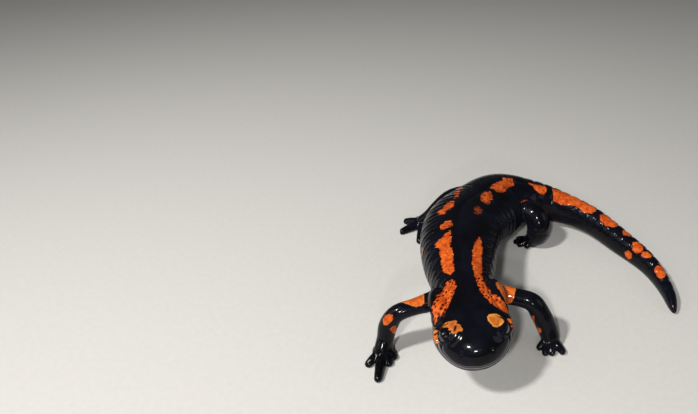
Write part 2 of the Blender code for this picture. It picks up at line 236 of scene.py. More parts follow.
# one skin: body, limbs, glands and brows fused
def rawSkin():
    parts = []
    rows = spine[::4]
    halfWidth, rise, drop = sectionAt(rows[:, 0])
    halfWidth = halfWidth * rounding(rows[:, 0], body["snoutRound"])
    blunt = rounding(rows[:, 0], body["snoutBlunt"])
    tip = rounding(spine[-1, 0] - rows[:, 0], body["tailRound"])
    angle = np.linspace(0.0, 2 * math.pi, 96, endpoint=False)
    power = 2 / body["fullness"]
    across = np.sign(np.cos(angle)) * abs(np.cos(angle)) ** power
    height = np.sign(np.sin(angle)) * abs(np.sin(angle)) ** power
    _, aside, up = frames(rows)
    rings = []
    for i, row in enumerate(rows):
        tall = np.where(height > 0, rise[i], drop[i]) * height * blunt[i]
        rings.append(row[1:4] + tip[i] * (aside[i] * across[:, None] * halfWidth[i] + up[i] * tall[:, None]))
    addLoft(parts, rings)
    for name, points in limbs.items():
        addTube(parts, points)
        x, y, z, _ = points[-1]
        addBall(parts, (x, y, z - toes["palmLowered"]), toes["palm"])
        for heading, length in toes[name]:
            ahead = np.array((math.cos(math.radians(heading)), math.sin(math.radians(heading))))
            stops = (toes["start"], toes["middle"] * length, length - toes["radii"][-1])
            addTube(parts, [(x + stop * ahead[0], y + stop * ahead[1], h, r * toes["thicker"].get(name, 1.0))
                            for stop, h, r in zip(stops, toes["heights"], toes["radii"])])
    for sign in (-1, 1):
        along, aside, above = head["glandAt"]
        place, ahead, _, _ = onBody(along, sign * aside, above)
        addBall(parts, place, head["gland"], ahead)
        along, aside, above = head["eyeAt"]
        place, ahead, _, _ = onBody(along, sign * (aside - head["browInward"]), above)
        addBall(parts, place, head["brow"], ahead)
    mesh = bpy.data.meshes.new("skin")
    corners = np.concatenate([part for part, _ in parts]) * mm
    mesh.from_pydata(corners, [], [face for _, faces in parts for face in faces])
    skin = link(bpy.data.objects.new("skin", mesh))
    fuse = skin.modifiers.new("fuse", "REMESH")
    fuse.mode = "VOXEL"
    fuse.voxel_size = body["voxel"] * mm
    applied(skin)
    dropBubbles(skin.data)
    return skin


def points(mesh):
    co = np.empty(len(mesh.vertices) * 3)
    mesh.vertices.foreach_get("co", co)
    return co.reshape(-1, 3) / mm


def put(mesh, co):
    mesh.vertices.foreach_set("co", (co * mm).ravel())
    mesh.update()


def normals(mesh):
    n = np.empty(len(mesh.vertices) * 3)
    mesh.vertices.foreach_get("normal", n)
    return n.reshape(-1, 3)


def relax(mesh, co, weight, passes):
    # each point moves towards the middle of its neighbours, as far as its weight says
    ends = np.empty(len(mesh.edges) * 2, int)
    mesh.edges.foreach_get("vertices", ends)
    ends = ends.reshape(-1, 2)
    used, ends = np.unique(ends[(weight[ends] > 0).any(axis=1)], return_inverse=True)
    a, b = ends.reshape(-1, 2).T
    moved, share = co[used], weight[used, None]
    n = len(used)
    count = (np.bincount(a, minlength=n) + np.bincount(b, minlength=n))[:, None]
    for _ in range(passes):
        total = np.column_stack([np.bincount(a, moved[b, k], n) + np.bincount(b, moved[a, k], n)
                                 for k in range(3)])
        moved = moved + share * (total / count - moved)
    co = co.copy()
    co[used] = moved
    return co


def nearestRow(co, curve, coarse=20):
    # row of the curve nearest each point: a rough search, then a fine one beside it
    found = np.empty(len(co), int)
    rough = curve[::coarse, 1:4]
    beside = np.arange(-coarse, coarse + 1)
    for start in range(0, len(co), 20000):
        p = co[start:start + 20000]
        k = np.argmin(((p[:, None] - rough) ** 2).sum(axis=2), axis=1) * coarse
        rows = np.clip(k[:, None] + beside, 0, len(curve) - 1)
        k = np.argmin(((p[:, None] - curve[rows, 1:4]) ** 2).sum(axis=2), axis=1)
        found[start:start + 20000] = rows[np.arange(len(p)), k]
    return found


def gauss(x, width):
    return np.exp(-(x / width) ** 2)


def ease(x, low, high):
    u = np.clip((x - low) / (high - low), 0, 1)
    return u * u * (3 - 2 * u)


def within(x, start, end):
    # comes in over the first stretch and goes out over the second
    return ease(x, *start) * (1 - ease(x, *end))


def ridge(x, height, at, width):
    return height * gauss(x - at, width)


def bodyPlace(co):
    # along, degrees round from the top of the back (+ is its left), aside, above,
    # how much of a limb it is, and the mean half size of the body there
    row = nearestRow(co, spine)
    out = co - spine[row, 1:4]
    atEnd = (row == 0) | (row == len(spine) - 1)
    along = spine[row, 0] + np.where(atEnd, (out * spineAhead[row]).sum(axis=1), 0)
    aside = (out * spineAside[row]).sum(axis=1)
    above = (out * spineUp[row]).sum(axis=1)
    halfWidth, rise, drop = sectionAt(spine[row, 0])
    turn = np.arctan2(aside, above)
    tall = np.where(above > 0, rise, drop)
    power = body["fullness"]
    reach = (abs(np.sin(turn) / halfWidth) ** power + abs(np.cos(turn) / tall) ** power) ** (-1 / power)
    limbness = ease(np.hypot(aside, above) - reach, 0.7, 2.2)
    return along, np.degrees(turn), aside, above, limbness, (halfWidth + rise) / 2


# markings: outlines in mm along the body and degrees round it, + to its left
blotches = dict(     # how ragged, how streaked with black, how amber or dull brown, and the outline
    glandRight=dict(ragged=0.6, streak=0.12, pores=46, edge=[
        (22.9, -26), (22.5, -36), (21.3, -43), (19.2, -50), (17.6, -56), (16.0, -64), (14.2, -73), (12.4, -76),
        (12.2, -68), (13.2, -62), (12.7, -54), (13.8, -49), (14.5, -42), (16.0, -35), (18.4, -25), (19.9, -19),
        (21.9, -19)]),
    shoulderRight=dict(ragged=0.6, streak=0.12, edge=[
        (36.7, -37), (36.6, -15), (33.3, -13), (29.6, -15), (25.9, -16), (24.9, -26), (26.2, -37), (28.6, -41),
        (32.8, -38)]),
    backRightA=dict(ragged=0.7, streak=0.3, edge=[
        (43.7, -13), (39.6, -12), (36.4, -16), (36.4, -36), (38.1, -45), (39.6, -43), (41.4, -28)]),
    backRightB=dict(ragged=0.7, streak=0.5, edge=[
        (48.3, -13), (45.6, -10), (44.5, -21), (44.3, -32), (46.3, -34), (48.2, -24)]),
    backRightC=dict(ragged=0.7, streak=0.9, edge=[
        (60.0, -24), (56.6, -17), (54.1, -21), (52.4, -29), (51.5, -42), (54.0, -44), (57.3, -40),
        (59.3, -34)]),
    backRightD=dict(ragged=0.7, streak=0.9, edge=[
        (71.4, -55), (64.7, -35), (61.5, -23), (60.8, -28), (62.3, -41), (69.2, -66)]),
    flankRight=dict(ragged=0.4, streak=0.7, edge=[
        (44.0, -70), (43.0, -74), (40.0, -80), (39.0, -78), (41.5, -73)]),
    backLeft=dict(ragged=0.6, streak=0.18, pores=40, edge=[
        (40.5, 38), (37.7, 30), (33.6, 25), (28.9, 23), (25.5, 23), (22.0, 24), (18.4, 25), (16.5, 26),
        (14.9, 31), (13.3, 38), (12.2, 47), (11.4, 57), (11.2, 66), (11.6, 80), (13.2, 80), (13.9, 66),
        (14.6, 57), (16.0, 50), (18.8, 43), (21.0, 39), (24.2, 41), (27.9, 45), (31.6, 44), (36.3, 45),
        (39.7, 41)]),
    hipLeftA=dict(ragged=0.8, streak=0.95, dull=0.85, edge=[
        (57.3, 23), (59.0, 29), (57.7, 38), (53.8, 40), (52.2, 34), (53.1, 26)]),
    hipLeftB=dict(ragged=0.7, streak=0.8, dull=0.25, edge=[
        (67.7, 5), (70.3, 4), (70.7, 15), (69.0, 29), (66.3, 38), (63.7, 38), (62.8, 34), (63.6, 22)]),
    rumpLeft=dict(ragged=0.8, streak=0.75, dull=0.15, edge=[
        (73.6, 2), (76.6, 1), (79.8, 0), (81.1, -13), (83.7, -11), (84.6, 4), (84.2, 16), (82.5, 28),
        (79.0, 33), (74.8, 37), (72.8, 34), (71.8, 22)]),
    shoulderLeft=dict(ragged=0.4, amber=0.3, edge=[
        (19.4, 53), (17.4, 55), (15.4, 60), (14.4, 67), (14.8, 80), (17.0, 96), (22.4, 98), (23.2, 80),
        (21.6, 62)]),
    tailA=dict(ragged=0.4, streak=0.15, edge=[
        (88.8, -4), (91.6, 0), (94.8, -3), (95.6, 15), (94.6, 35), (92.7, 35), (90.6, 24)]),
    tailB=dict(ragged=0.4, streak=0.08, edge=[
        (97.2, -4), (100.8, -18), (105.6, -19), (110.6, -24), (114.0, -20), (115.4, 0), (115.0, 22),
        (112.0, 36), (108.4, 28), (104.6, 38), (101.9, 45), (98.7, 42)]),
    tailC=dict(ragged=0.3, streak=0.05, edge=[
        (117.5, 3), (118.6, -18), (121.0, -28), (124.0, -24), (125.2, -4), (124.7, 14), (122.5, 29),
        (119.1, 24)]),
    tailD=dict(ragged=0.3, streak=0.05, edge=[
        (127.3, -16), (128.3, -34), (129.9, -34), (130.9, -16), (130.6, -1), (129.2, 12), (127.8, 0)]),
    tailE=dict(ragged=0.4, streak=0.05, edge=[
        (133.4, 12), (134.2, -13), (136.3, -14), (137.7, 6), (137.9, 24), (136.9, 44), (135.0, 42)]),
    tailF=dict(ragged=0.4, streak=0.05, edge=[
        (138.0, 18), (138.9, -8), (140.8, -13), (141.6, 6), (140.9, 24), (139.0, 38)]),
    tailG=dict(ragged=0.4, streak=0.05, edge=[
        (132.8, 78), (134.0, 56), (135.6, 60), (136.0, 88), (135.1, 112), (133.4, 104)]),
    tailH=dict(ragged=0.4, streak=0.1, edge=[
        (145.0, 12), (145.4, -30), (148.1, -26), (149.8, 0), (150.1, 24), (148.6, 46), (146.4, 36)]),
    lidRight=dict(ragged=0.45, amber=0.6, dull=0.34, scar=(7.9, -38), edge=[
        (9.6, -58), (9.9, -52), (9.9, -44), (9.8, -35), (9.2, -33), (8.9, -35), (8.4, -27), (7.0, -25),
        (6.7, -28), (7.1, -33), (6.5, -37), (6.5, -43), (7.2, -46), (7.6, -43), (8.0, -49), (8.5, -48),
        (8.9, -55)]),
    lidLeft=dict(ragged=0.25, amber=1.0, edge=[
        (9.5, 28), (10.1, 34), (10.2, 45), (9.6, 56), (8.5, 54), (7.5, 50), (6.9, 45), (7.0, 38), (7.8, 33),
        (8.6, 29)]),
    cheekRight=dict(ragged=0.4, amber=0.5, dull=0.15, edge=[
        (10.9, -79), (10.2, -72), (9.0, -73), (7.5, -76), (7.3, -82), (8.4, -88), (10.2, -89)]),
    cheekLeft=dict(ragged=0.4, amber=0.2, edge=[
        (9.8, 67), (10.4, 76), (10.2, 82), (9.0, 84), (8.6, 76), (9.2, 70)]),
)

limbBlotches = dict(     # mm along the limb, degrees round it from its top, + to the left of its heading
    armRightUpper=dict(limb="armRight", ragged=0.3, amber=0.35, edge=[
        (14.2, 60), (14.3, 20), (13.4, -4), (12.3, -28), (11.1, -50), (10.0, -54), (9.1, -44), (8.7, -13),
        (8.4, 20), (8.3, 50), (9.0, 72), (11.0, 78)]),
    armRightSpotA=dict(limb="armRight", ragged=0.3, amber=0.1, dull=0.2, edge=[
        (16.5, -46), (16.9, -66), (18.0, -74), (19.2, -64), (19.5, -44), (18.9, -22), (17.8, -14),
        (16.9, -26)]),
    armRightSpotB=dict(limb="armRight", ragged=0.4, amber=0.0, dull=0.25, edge=[
        (19.8, -84), (18.6, -102), (18.8, -126), (20.8, -140), (22.8, -116), (21.6, -95)]),
    armLeftUpper=dict(limb="armLeft", ragged=0.4, amber=0.3, edge=[
        (3.6, -80), (8.4, -80), (9.3, -40), (9.4, 20), (9.4, 55), (9.0, 90), (8.0, 110), (6.4, 112), (4.4, 60),
        (3.6, 0)]),
    armLeftInner=dict(limb="armLeft", ragged=0.6, streak=0.5, dull=0.45, edge=[
        (16.8, 108), (17.2, 88), (18.5, 90), (20.3, 112), (20.1, 132), (18.4, 128)]),
    armLeftWrist=dict(limb="armLeft", ragged=0.7, streak=0.5, dull=0.5, edge=[
        (21.2, 108), (21.3, 84), (22.5, 80), (24.0, 99), (23.4, 120), (22.2, 122)]),
    kneeLeft=dict(limb="legLeft", ragged=0.3, streak=0.3, dull=0.75, edge=[
        (8.3, 24), (9.3, -4), (10.1, -16), (10.4, -14), (9.7, 2), (8.7, 27)]),
)


def insideOutline(x, y, edge):
    # signed distance to a closed outline, + inside
    best = np.full(len(x), 1e9)
    odd = np.zeros(len(x), bool)
    for (ax, ay), (bx, by) in zip(edge, edge[1:] + edge[:1]):
        dx, dy = bx - ax, by - ay
        share = np.clip(((x - ax) * dx + (y - ay) * dy) / max(dx * dx + dy * dy, 1e-9), 0, 1)
        best = np.minimum(best, np.hypot(x - ax - share * dx, y - ay - share * dy))
        crosses = (ay > y) != (by > y)
        odd ^= crosses & (x < dx * (y - ay) / (dy if dy else 1e-9) + ax)
    return np.where(odd, best, -best)


skin = rawSkin()
mesh = skin.data
co = points(mesh)
print("fused skin:", len(co), "points")

# soften where limbs leave the body, between the toes, and round the glands and brows
soften = dict(       # how far each pass moves a point, and over what reach in mm
    everywhere=0.4, firstPasses=12, least=0.1, passes=60,
    limb=0.5, legReach=6.5, armReach=4.5, palm=0.25, palmReach=3.5,
    gland=0.35, glandReach=7.0, brow=0.3, browReach=4.5, browAside=5.6,
    shoulder=0.5, shoulderReach=4.2, shoulderPasses=260, shoulderLeast=0.05,
)
out = normals(mesh)
co = relax(mesh, co, np.full(len(co), soften["everywhere"]), soften["firstPasses"])


def nearTo(place, reach):
    return gauss(np.linalg.norm(co - np.array(place), axis=1), reach)


weight = np.full(len(co), soften["least"])
shoulders = np.zeros(len(co))
for name, rows in limbs.items():
    root = np.array(rows[1][:3]) * 0.6 + np.array(rows[2][:3]) * 0.4
    reach = soften["legReach" if "leg" in name else "armReach"]
    weight = np.maximum(weight, soften["limb"] * nearTo(root, reach))
    weight = np.maximum(weight, soften["palm"] * nearTo(rows[-1][:3], soften["palmReach"]))
    if "arm" in name:
        shoulders = np.maximum(shoulders, soften["shoulder"] * nearTo(rows[1][:3], soften["shoulderReach"]))
for sign in (-1, 1):
    along, aside, above = head["glandAt"]
    place = onBody(along, sign * aside, above)[0]
    weight = np.maximum(weight, soften["gland"] * nearTo(place, soften["glandReach"]))
    along, _, above = head["eyeAt"]
    place = onBody(along, sign * soften["browAside"], above)[0]
    weight = np.maximum(weight, soften["brow"] * nearTo(place, soften["browReach"]))
shoulders[shoulders <= soften["shoulderLeast"]] = 0.0
# only hollows fill, so nothing gets thinner than the solids
for share, passes in ((weight, soften["passes"]), (shoulders, soften["shoulderPasses"])):
    filled = ((relax(mesh, co, share, passes) - co) * out).sum(axis=1)
    co = co + out * np.maximum(filled, 0.0)[:, None]
put(mesh, co)

out = normals(mesh)

along, turn, aside, above, limbness, girth = bodyPlace(co)
around = np.radians(turn) * girth
flesh = 1 - limbness

# relief: what the skin does over muscle and bone, in mm
relief = dict(
    # the costal grooves: first, last and spacing, and degrees round where they come in and go out
    ribGrooves=(25.5, 73.0, 4.15), ribDepth=0.30, ribWidth=0.62, ribSlant=0.026,
    ribTop=(22, 50), ribBottom=(125, 150), ribSwell=0.10, swellStart=(24, 27), swellEnd=(72, 75),
    # rings round the tail, strongest near its top
    tailGrooves=(88.0, 156.0, 3.3), tailDepth=0.22, tailWidth=0.55, tailStart=(84, 92), tailEnd=(148, 158),
    ringTop=(5, 25), ringFade=(40, 75), ringFaded=0.92,
    # down the middle of the back
    furrowDepth=0.35, furrowWidth=1.3, furrowStart=(22, 30), furrowEnd=(84, 96),
    # ridges on the neck and head: height, where and width; a hollow's height is below zero
    throatFold=(-0.55, 20.6, 0.55), throatTop=(80, 110), throatBow=0.3,
    neckFolds=((-0.22, 23.0, 0.35), (-0.16, 24.6, 0.35), (-0.12, 17.6, 0.35)),
    neckTop=(60, 85), neckWander=0.4,
    mouthLine=(-0.42, 0.0, 0.2), upperLip=(0.16, 0.5, 0.45), chin=(-0.20, -0.6, 0.6), mouthFade=1.5,
    lipRim=(0.09, 0.0, 0.2), lipGroove=(-0.09, 0.33, 0.16), lipRimEnd=(8, 11), lipEnd=(7, 10),
    nostril=(-0.38, 0.0, 0.27), nostrilRim=(0.03, 0.7, 0.35), nostrilOval=0.9,
    browDip=(-0.15, 12.4, 1.2), browDipAside=(7.2, 2.4),
    browCrease=(-0.10, 1.0, 0.16), creaseAside=5.9, creaseSize=(3.5, 2.75),
    creaseAbove=(1.0, 3.0), creaseInner=(5.8, 7.2),
    crownDip=(-0.35, 8.5, 4.5), crownWidth=3.2,
    glandCrease=(-0.30, 1.05, 0.12), glandRound=10.0, glandSize=(6.6, 3.4), glandSwell=0.08,
    poreDepth=0.14,
    elsewhere=9.0,      # far enough that a shape meant for one side leaves the other alone
)
lift = np.zeros(len(co))


def groovesAt(first, last, spacing, wander):
    k = np.clip(np.round((along + wander - first) / spacing), 0, round((last - first) / spacing))
    return along + wander - first - k * spacing


# grooves round the trunk and rings round the tail, none quite straight
wave = 0.22 * np.sin(around * 0.5 + along * 0.23) + 0.10 * np.sin(around * 1.1 - along * 0.4 + 1.3)
spacing = relief["ribGrooves"][-1]
rib = groovesAt(*relief["ribGrooves"], relief["ribSlant"] * abs(turn) + wave)
onSide = within(abs(turn), relief["ribTop"], relief["ribBottom"])
ribShare = gauss(rib, relief["ribWidth"]) * onSide * flesh
lift -= relief["ribDepth"] * ribShare
swell = np.cos(rib / spacing * 2 * math.pi) * onSide * flesh
lift += relief["ribSwell"] * swell * within(along, relief["swellStart"], relief["swellEnd"])
ring = groovesAt(*relief["tailGrooves"], wave * 0.5)
tailShare = gauss(ring, relief["tailWidth"]) * within(along, relief["tailStart"], relief["tailEnd"]) * flesh
tailShare *= ease(abs(turn), *relief["ringTop"])
tailShare *= 1 - relief["ringFaded"] * ease(abs(turn), *relief["ringFade"])
lift -= relief["tailDepth"] * tailShare
onBack = within(along, relief["furrowStart"], relief["furrowEnd"])
lift -= relief["furrowDepth"] * gauss(around, relief["furrowWidth"]) * onBack
bowed = along - relief["throatBow"] * np.cos(np.radians(turn))
lift += ridge(bowed, *relief["throatFold"]) * ease(abs(turn), *relief["throatTop"]) * flesh
for fold in relief["neckFolds"]:
    lift += ridge(along - relief["neckWander"] * wave, *fold) * ease(abs(turn), *relief["neckTop"]) * flesh

# the mouth dips behind the eye to its corner; the rim of the upper lip and a fold run above it
onHead = (1 - ease(along, 15, 19)) * flesh
mouth = above + head["mouthBelow"] - 0.5 * ease(along, 2, 9) + 0.9 * ease(along, 9.5, 14)
mouthShare = 1 - ease(along, head["mouthCorner"] - relief["mouthFade"], head["mouthCorner"])
for name in ("mouthLine", "upperLip", "chin"):
    lift += ridge(mouth, *relief[name]) * mouthShare
lipEdge = -0.05 + 1.4 * ease(along, 1.2, 7.5)
foldEdge = lipEdge + 0.60 + 0.5 * ease(along, 1.5, 5.5)
for name, end in (("lipRim", "lipRimEnd"), ("lipGroove", "lipEnd")):
    lift += ridge(above - lipEdge, *relief[name]) * onHead * (1 - ease(along, *relief[end]))
alongN, asideN = head["nostrilAt"]
alongE = head["eyeAt"][0]
alongG = head["glandAt"][0]
for sign in (-1, 1):
    d = np.hypot(along - alongN, (aside - sign * asideN) * relief["nostrilOval"])
    d += np.where(above > 0, 0, relief["elsewhere"])
    lift += ridge(d, *relief["nostril"]) + ridge(d, *relief["nostrilRim"])
    # the dip behind the brow, and the crease round its inner side
    dipAside, dipWidth = relief["browDipAside"]
    lift += ridge(along, *relief["browDip"]) * gauss(aside - sign * dipAside, dipWidth) * (above > 0)
    long, wide = relief["creaseSize"]
    d = np.hypot((along - alongE) / long, (aside - sign * relief["creaseAside"]) / wide)
    innerSide = ease(above, *relief["creaseAbove"]) * (1 - ease(sign * aside, *relief["creaseInner"]))
    lift += ridge(d, *relief["browCrease"]) * innerSide
    # the gland swells inside its crease
    long, wide = relief["glandSize"]
    d = np.hypot((along - alongG) / long, (abs(around) - relief["glandRound"]) / wide)
    d += np.where(sign * aside > 0, 0, relief["elsewhere"])
    lift += ridge(d, *relief["glandCrease"]) * flesh + relief["glandSwell"] * ease(1.1 - d, 0, 0.5) * flesh
lift += ridge(along, *relief["crownDip"]) * gauss(aside, relief["crownWidth"]) * (above > 0)

# poison pores: scattered over each gland's stripe, and a row down each side of the back
poreLook = dict(rowStart=26.5, rowStep=1.45, rowAside=2.3, perRow=32, rowRadius=(0.12, 0.20),
                apart=0.78, hindmost=24, radius=(0.13, 0.32), squash=(0.4, 0.9), scar=(0.34, 0.45))
pores = [(poreLook["rowStart"] + k * poreLook["rowStep"] + rng.uniform(-0.3, 0.3),
          sign * (poreLook["rowAside"] + rng.uniform(-0.25, 0.25)), rng.uniform(*poreLook["rowRadius"]), 1.0)
         for sign in (-1, 1) for k in range(poreLook["perRow"])]
for look in blotches.values():
    edge = np.array(look["edge"])
    halfWidth, rise, _ = sectionAt(edge[:, 0])
    edge = np.column_stack((edge[:, 0], np.radians(edge[:, 1]) * (halfWidth + rise) / 2))
    edge = [tuple(row) for row in edge]
    kept = []
    for _ in range(20 * look.get("pores", 0)):
        spot = rng.uniform(np.min(edge, axis=0), np.max(edge, axis=0))
        clear = all(math.hypot(spot[0] - a, spot[1] - b) > poreLook["apart"] for a, b in kept)
        inside = spot[0] < poreLook["hindmost"] and insideOutline(spot[:1], spot[1:], edge)[0] > 0.1
        if clear and inside and len(kept) < look["pores"]:
            kept.append(tuple(spot))
    pores += [(a, b, rng.uniform(*poreLook["radius"]), rng.uniform(*poreLook["squash"])) for a, b in kept]
alongS, turnS = blotches["lidRight"]["scar"]
halfWidth, rise, _ = sectionAt(np.array([alongS]))
pores.append((alongS, math.radians(turnS) * float(halfWidth[0] + rise[0]) / 2) + poreLook["scar"])
poreEdge = np.full(len(co), 5.0)
for alongP, aroundP, radius, squash in pores:
    near = np.nonzero(abs(along - alongP) + abs(around - aroundP) < 3)[0]
    da, db = along[near] - alongP, around[near] - aroundP
    d = np.hypot((da + db * 0.5) * squash, db - da * 0.5) * 0.9 - radius
    poreEdge[near] = np.minimum(poreEdge[near], d)
lift -= relief["poreDepth"] * ease(-poreEdge, -0.25, 0.25) * flesh
co = co + out * lift[:, None]


def eyeFrame(side):
    # the eyeball's place, and the ways it looks, forward and up along its surface
    sign = 1 if side == "left" else -1
    along, aside, above = head["eyeAt"]
    place, ahead, outward, up = onBody(along, sign * aside, above)
    gaze = sign * outward * 0.84 - ahead * 0.28 + up * 0.46
    gaze /= np.linalg.norm(gaze)
    front = -ahead + gaze * (ahead @ gaze)
    front /= np.linalg.norm(front)
    top = np.cross(gaze, front)
    return place, gaze, front, top * np.sign(top @ up)


# the eye's opening: lids stand over the eyeball, and the skin in the slit dips behind it
lids = dict(halfLength=1.75, upper=0.85, lower=1.15, thick=0.34, lowerThick=0.16, rim=0.10,
            reach=(1.9, 3.3), sunk=0.5, blackRim=0.32)
lidEdge = np.full(len(co), -9.0)      # mm, + inside the opening
for side in ("right", "left"):
    place, gaze, front, top = eyeFrame(side)
    ray = co - place
    forth, upward, outTo = ray @ front, ray @ top, ray @ gaze
    spread = np.hypot(forth, upward)
    near = np.nonzero((spread < lids["reach"][1]) & (outTo > 0) & (outTo < 5))[0]
    forth, upward, outTo, spread = forth[near], upward[near], outTo[near], spread[near]
    span = np.sqrt(np.clip(1 - (forth / lids["halfLength"]) ** 2, 0, 1))
    inside = np.minimum(lids["upper"] * span - upward, upward + lids["lower"] * span)
    inside = np.where(abs(forth) < lids["halfLength"], inside, lids["halfLength"] - abs(forth))
    lidEdge[near] = inside
    thick = np.where(upward > 0, lids["thick"], lids["lowerThick"]) + lids["rim"] * gauss(inside + 0.35, 0.3)
    ball = head["eyeRadius"]
    cover = np.sqrt(np.clip((ball + thick) ** 2 - spread ** 2, 0.3, None))
    behind = np.sqrt(np.clip(ball ** 2 - spread ** 2, 0.2, None)) - lids["sunk"]
    lidded = np.maximum(outTo, cover) * 0.4 + cover * 0.6
    blend = 1 - ease(spread, *lids["reach"])
    shaped = outTo + (lidded - outTo) * blend
    opening = ease(inside, -0.10, 0.14)
    shaped = shaped * (1 - opening) + behind * opening
    co[near] += gaze * (shaped - outTo)[:, None]

# the soles stay level on the floor
co[:, 2] = np.maximum(co[:, 2], 0.0)
put(mesh, co)
print("relief done")

# markings laid on the skin: mm inside each outline, and how its edge and colour behave
laying = dict(bare=-4.0, ragged=0.3, margin=3.0, fuller=0.04,    # mm outside, and how ragged, before any
              onTrunk=0.75, onLimb=0.02, limbReach=1.6, offLimb=-99.0)
layers = dict(orange=np.full(len(co), laying["bare"]), ragged=np.full(len(co), laying["ragged"]),
              streak=np.zeros(len(co)), amber=np.zeros(len(co)), dull=np.zeros(len(co)))


def mark(x, y, perDegree, look, allowed):
    # where outlines meet, the one that a point is deeper in wins
    edge = [(a, b * perDegree) for a, b in look["edge"]]
    low, high = np.min(edge, axis=0) - laying["margin"], np.max(edge, axis=0) + laying["margin"]
    near = np.nonzero(allowed & (x > low[0]) & (x < high[0]) & (y > low[1]) & (y < high[1]))[0]
    d = insideOutline(x[near], y[near], edge) + laying["fuller"]
    deeper = d > layers["orange"][near]
    won = near[deeper]
    layers["orange"][won] = d[deeper]
    for name in ("ragged", "streak", "amber", "dull"):
        layers[name][won] = look.get(name, 0.0)


for look in blotches.values():
    middle = np.mean([a for a, _ in look["edge"]])
    halfWidth, rise, _ = sectionAt(np.array([middle]))
    perDegree = math.radians(float(halfWidth[0] + rise[0]) / 2)
    mark(along, turn * perDegree, perDegree, look, limbness < laying["onTrunk"])
for look in limbBlotches.values():
    rows = limbs[look["limb"]]
    curve = route(rows, 0.1)
    _, curveAside, curveUp = frames(curve)
    near = np.nonzero(limbness > laying["onLimb"])[0]
    row = nearestRow(co[near], curve)
    off = co[near] - curve[row, 1:4]
    fits = np.linalg.norm(off, axis=1) / curve[row, 4] < laying["limbReach"]
    turned = np.arctan2((off * curveAside[row]).sum(axis=1), (off * curveUp[row]).sum(axis=1))
    radius = np.mean([r[3] for r in rows])
    alongLimb = np.full(len(co), laying["offLimb"])
    aroundLimb = np.zeros(len(co))
    alongLimb[near[fits]] = curve[row, 0][fits]
    aroundLimb[near[fits]] = turned[fits] * radius
    mark(alongLimb, aroundLimb, math.radians(radius), look, alongLimb > laying["offLimb"])
print("markings:", int((layers["orange"] > 0).sum()), "points orange")

layers["orange"] = np.minimum(layers["orange"], -lidEdge - lids["blackRim"])
# a pale grey line painted along the rim of the upper lip, and a fainter one along the fold above it: painted
# highlight
lip = np.clip(gauss(above - lipEdge, 0.13) + 0.7 * gauss(above - foldEdge, 0.12), 0, 1)
lip *= onHead * (1 - ease(along, *relief["lipEnd"]))
flank = onSide * flesh * within(along, (20, 28), (80, 90)) * ease(abs(turn), 45, 70)


def keepOn(mesh, name, values):
    made = mesh.attributes.new(name, "FLOAT", "POINT")
    made.data.foreach_set("value", values.astype(np.float32))


layers.update(grain=1 - 0.8 * onHead, pore=poreEdge, lip=lip, flank=flank,
              groove=np.clip(ribShare + tailShare, 0, 1))
for name, values in layers.items():
    keepOn(mesh, name, values)
made = mesh.attributes.new("skinPlace", "FLOAT_VECTOR", "POINT")
made.data.foreach_set("vector", np.column_stack((along, around, 0 * along)).astype(np.float32).ravel())
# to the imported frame, and never past the solids' box
co = np.clip((co - shift) * mm, solidBox[0], solidBox[1])
mesh.vertices.foreach_set("co", co.ravel())
mesh.update()
mesh.shade_smooth()


def linear(hexColour):
    channels = [int(hexColour[i:i + 2], 16) / 255 for i in (1, 3, 5)]
    return tuple(c / 12.92 if c <= 0.04045 else ((c + 0.055) / 1.055) ** 2.4 for c in channels) + (1.0,)


def addNode(tree, kind, gives, takes, **settings):
    # takes: name or place of each input, with its value, hex colour or the output that feeds it
    node = tree.nodes.new("ShaderNode" + kind)
    for name, value in settings.items():
        setattr(node, name, value)
    for name, value in takes.items():
        if isinstance(value, bpy.types.NodeSocket):
            tree.links.new(value, node.inputs[name])
        else:
            node.inputs[name].default_value = linear(value) if isinstance(value, str) else value
    return node.outputs[gives]


def newMaterial(name):
    material = bpy.data.materials.new(name)
    material.use_nodes = True
    tree = material.node_tree
    return material, tree, tree.nodes["Principled BSDF"]


# wet amphibian skin: a thin film of slime over black, so sharp small lights on a surface that
# gives back almost nothing else; the orange is a matter pigment under the same film
skinLook = dict(
    # the bluish black is a painted sheen, laid over the black in patches by noise
    black="#08080b", sheenBlueBlack="#0c0d15", flank="#111218", rim="#3a0f06", brown="#6a2c14", rimPale="#d8944a",
    orangeDeep="#a83c10", orange="#c5571d", orangePale="#d87536", amber="#a85c1c", amberPale="#c8722c",
    # the pale grey of the lip is a painted highlight along the upper lip and its fold
    lip="#8d878c",
    blackRoughness=0.22, orangeRoughness=0.40,
    constants={"IOR": 1.36, "Specular IOR Level": 0.06,                          # soft flesh under the film
               "Coat Weight": 0.40, "Coat Roughness": 0.025, "Coat IOR": 1.33},  # the film is mostly water
    noises=dict(edge=(1.1, 3.0), fineEdge=(0.35, 2.0), mottle=(1.6, 3.0), speck=(0.7, 3.0), sheenPatch=(6.0, 2.0),
                wave=(2.2, 3.0), beadPatch=(5.0, 1.0)),                     # mm across, detail
    stretched=dict(streaks=(0.34, 3.0, 2.0), folds=(2.4, 0.34, 3.0)),       # mm along, mm round, detail
    cells=dict(granule=0.7, bead=1.3),   # mm; real granules are 0.1 to 0.3, drawn coarser so they show
    edgeReach=1.75, fineReach=0.36, streakReach=2.2, grooveReach=1.2,   # mm that each eats off an edge
    granuleHigh=0.07, foldHigh=0.45, beadHigh=0.15, waveHigh=0.10,      # mm
)


